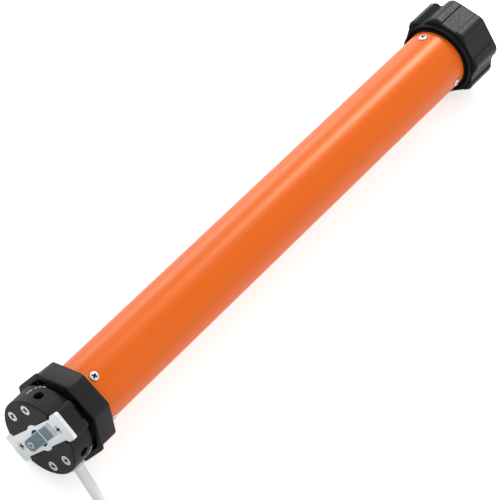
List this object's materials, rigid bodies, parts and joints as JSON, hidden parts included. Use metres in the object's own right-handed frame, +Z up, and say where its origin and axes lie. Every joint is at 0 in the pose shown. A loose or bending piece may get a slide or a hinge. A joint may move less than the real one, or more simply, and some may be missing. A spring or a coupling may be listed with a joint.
{
  "type": "tubular roller blind motor",
  "caption": "Tubular motor for a roller blind: painted tube, black head with bracket plate and latch, idler crown, octagonal drive wheel, white cable.",
  "frame": {"origin": "on the floor, below the middle of the motor's length and below its axis, the cable left out", "axes": "+X along the motor's axis from the bracket end to the driven end, +Z up, -Y the side that the cable leaves on"},
  "size_m": [0.6242, 0.1173, 0.0676],
  "materials": {
    "tube_paint": "satin powder paint, orange",
    "head_plastic": "moulded, fine grain, black",
    "cover_plastic": "moulded, fine grain, black",
    "crown_plastic": "moulded, black",
    "wheel_plastic": "moulded, black",
    "adjuster_plastic": "moulded, black",
    "zinc_plate": "zinc plated, bright",
    "zinc_screw": "zinc plated",
    "leaf_steel": "spring steel, blue-grey",
    "gland_rubber": "moulded",
    "cable_sheath": "smooth white sheath",
    "core_sheath": "wire insulation",
    "inner_plastic": "moulded",
    "switch_plastic": "moulded",
    "capacitor_can": "smooth can",
    "cast_alloy": "cast",
    "stator_steel": "laminated steel",
    "winding_copper": "lacquered copper wire",
    "gear_steel": "sintered steel",
    "shaft_steel": "ground steel",
    "brake_lining": "pressed lining",
    "bush_bronze": "sintered bronze"
  },
  "bodies": {
    "motor": {"head_housing": "head_plastic", "face_cover_front": "cover_plastic", "face_cover_rear": "cover_plastic", "bracket_plate": "zinc_plate", "face_screws": "zinc_screw", "plate_screws": "zinc_screw", "latch_root": "leaf_steel", "motor_tube": "tube_paint", "near_tube_screws": "zinc_screw", "far_tube_screws": "zinc_screw", "cable_gland": "gland_rubber", "cable_tube": "cable_sheath", "cable_coil": "cable_sheath", "cable_tail": "cable_sheath", "cable_cores": "core_sheath", "limit_chassis": "inner_plastic", "limit_switches": "switch_plastic", "limit_spindles": "shaft_steel", "limit_nuts": "inner_plastic", "capacitor": "capacitor_can", "capacitor_holder": "inner_plastic", "front_shield": "cast_alloy", "rear_shield": "cast_alloy", "front_bearing": "shaft_steel", "rear_bearing": "shaft_steel", "stator_core": "stator_steel", "winding_front": "winding_copper", "winding_rear": "winding_copper", "brake_housing": "cast_alloy", "brake_lining": "brake_lining", "gearbox_cover": "cast_alloy", "gearbox_sleeve": "gear_steel", "output_housing": "cast_alloy", "output_bush": "bush_bronze"},
    "rotor": {"rotor_shaft": "shaft_steel", "rotor_core": "stator_steel", "cage_rings": "cast_alloy", "brake_disc": "shaft_steel", "brake_spring": "leaf_steel", "sun_one": "gear_steel"},
    "drive": {"drive_wheel": "wheel_plastic", "wheel_washer": "zinc_screw", "wheel_screw": "zinc_screw", "output_shaft": "shaft_steel", "carrier_two": "gear_steel"},
    "first_carrier": {"carrier_one": "gear_steel", "sun_two": "gear_steel"},
    "idler_crown": {"crown": "crown_plastic"},
    "latch": {"latch_tongue": "leaf_steel"},
    "upper_adjuster": {"limit_adjuster_upper": "adjuster_plastic"},
    "lower_adjuster": {"limit_adjuster_lower": "adjuster_plastic"},
    "planet_one_a": {"planet_one_a": "gear_steel"},
    "planet_one_b": {"planet_one_b": "gear_steel"},
    "planet_one_c": {"planet_one_c": "gear_steel"},
    "planet_two_a": {"planet_two_a": "gear_steel"},
    "planet_two_b": {"planet_two_b": "gear_steel"},
    "planet_two_c": {"planet_two_c": "gear_steel"}
  },
  "joints": [
    {"name": "rotor_spin", "type": "hinge", "parent": "motor", "child": "rotor", "pos_m": [0, 0, 0.03333], "axis": [1, 0, 0], "continuous": true},
    {"name": "drive_spin", "type": "hinge", "parent": "motor", "child": "drive", "pos_m": [0, 0, 0.03333], "axis": [1, 0, 0], "continuous": true},
    {"name": "carrier_spin", "type": "hinge", "parent": "motor", "child": "first_carrier", "pos_m": [0, 0, 0.03333], "axis": [1, 0, 0], "continuous": true},
    {"name": "crown_spin", "type": "hinge", "parent": "motor", "child": "idler_crown", "pos_m": [-0.20082, 0, 0.03333], "axis": [1, 0, 0], "continuous": true},
    {"name": "upper_adjuster_turn", "type": "hinge", "parent": "motor", "child": "upper_adjuster", "pos_m": [-0.22002, 0, 0.03333], "axis": [0, 0.3875, 0.9219], "continuous": true},
    {"name": "lower_adjuster_turn", "type": "hinge", "parent": "motor", "child": "lower_adjuster", "pos_m": [-0.22002, 0, 0.03333], "axis": [0, -0.9882, 0.153], "continuous": true},
    {"name": "latch_flex", "type": "hinge", "parent": "motor", "child": "latch", "pos_m": [-0.22837, -0.00236, 0.03884], "axis": [0, 0.9191, 0.3939], "range_deg": [-8, 12], "stiffness_Nm_per_rad": 0.05},
    {"name": "planet_one_a_spin", "type": "hinge", "parent": "first_carrier", "child": "planet_one_a", "pos_m": [0.14033, 0.0117, 0.03333], "axis": [1, 0, 0], "continuous": true},
    {"name": "planet_one_b_spin", "type": "hinge", "parent": "first_carrier", "child": "planet_one_b", "pos_m": [0.14033, -0.00585, 0.04346], "axis": [1, 0, 0], "continuous": true},
    {"name": "planet_one_c_spin", "type": "hinge", "parent": "first_carrier", "child": "planet_one_c", "pos_m": [0.14033, -0.00585, 0.0232], "axis": [1, 0, 0], "continuous": true},
    {"name": "planet_two_a_spin", "type": "hinge", "parent": "drive", "child": "planet_two_a", "pos_m": [0.15643, 0.0117, 0.03333], "axis": [1, 0, 0], "continuous": true},
    {"name": "planet_two_b_spin", "type": "hinge", "parent": "drive", "child": "planet_two_b", "pos_m": [0.15643, -0.00585, 0.04346], "axis": [1, 0, 0], "continuous": true},
    {"name": "planet_two_c_spin", "type": "hinge", "parent": "drive", "child": "planet_two_c", "pos_m": [0.15643, -0.00585, 0.0232], "axis": [1, 0, 0], "continuous": true}
  ],
  "couplings": [
    {"joint": "carrier_spin", "follows": "drive_spin", "ratio": 4.5},
    {"joint": "rotor_spin", "follows": "drive_spin", "ratio": 20.25},
    {"joint": "planet_one_a_spin", "follows": "drive_spin", "ratio": -12.6},
    {"joint": "planet_one_b_spin", "follows": "drive_spin", "ratio": -12.6},
    {"joint": "planet_one_c_spin", "follows": "drive_spin", "ratio": -12.6},
    {"joint": "planet_two_a_spin", "follows": "drive_spin", "ratio": -2.8},
    {"joint": "planet_two_b_spin", "follows": "drive_spin", "ratio": -2.8},
    {"joint": "planet_two_c_spin", "follows": "drive_spin", "ratio": -2.8}
  ]
}
